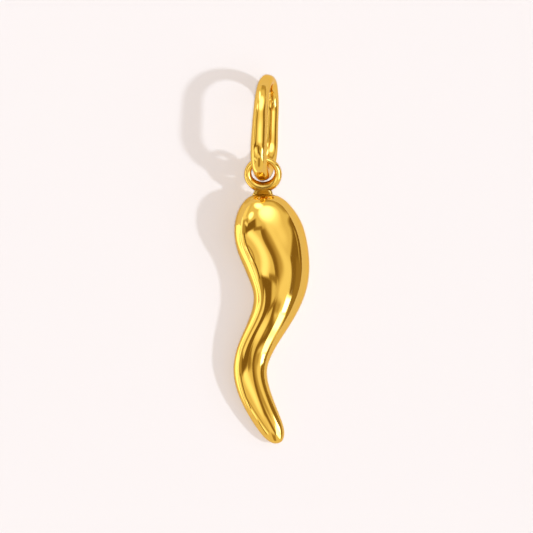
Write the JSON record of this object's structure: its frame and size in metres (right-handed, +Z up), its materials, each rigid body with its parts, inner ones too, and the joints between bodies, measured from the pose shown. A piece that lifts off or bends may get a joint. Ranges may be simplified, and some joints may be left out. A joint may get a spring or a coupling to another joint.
{
  "type": "chili pepper charm",
  "caption": "Small polished gold pendant charm: a plump chili pepper with a curved tail, a soldered eyelet and a loose oval bail that takes a neck chain or bracelet.",
  "frame": {"origin": "on the surface that the charm lies on, under the middle of its box", "axes": "+Z up from the surface, +Y along the charm from the pepper's tip to the bail, +X to the side that the pepper's head bulges to"},
  "size_m": [0.006, 0.0296, 0.006],
  "materials": {
    "polished_gold": "polished yellow gold plate"
  },
  "bodies": {
    "root": {"pepper_drop": "polished_gold", "bail": "polished_gold"}
  },
  "joints": []
}
